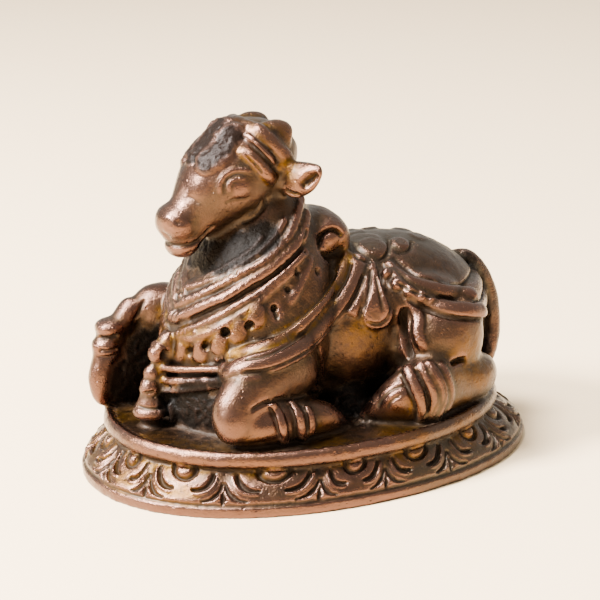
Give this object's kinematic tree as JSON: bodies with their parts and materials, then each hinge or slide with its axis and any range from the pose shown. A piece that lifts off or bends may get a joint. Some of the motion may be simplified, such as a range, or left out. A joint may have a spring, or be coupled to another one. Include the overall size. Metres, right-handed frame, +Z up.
{
  "type": "nandi bull figure",
  "caption": "Small cast bronze figure of a garlanded zebu bull lying on an oval lotus plinth, one foreleg raised.",
  "frame": {"origin": "centre of the plinth's flat underside", "axes": "+Z up; the bull's nose points along -X and its tail along +X; +Y is its right side"},
  "size_m": [0.076, 0.0532, 0.056],
  "materials": {
    "cast_bronze": "cast bronze with a copper-brown rubbed surface and a near-black patina in the recesses"
  },
  "bodies": {
    "root": {"nandi_bull_casting": "cast_bronze"}
  },
  "joints": []
}
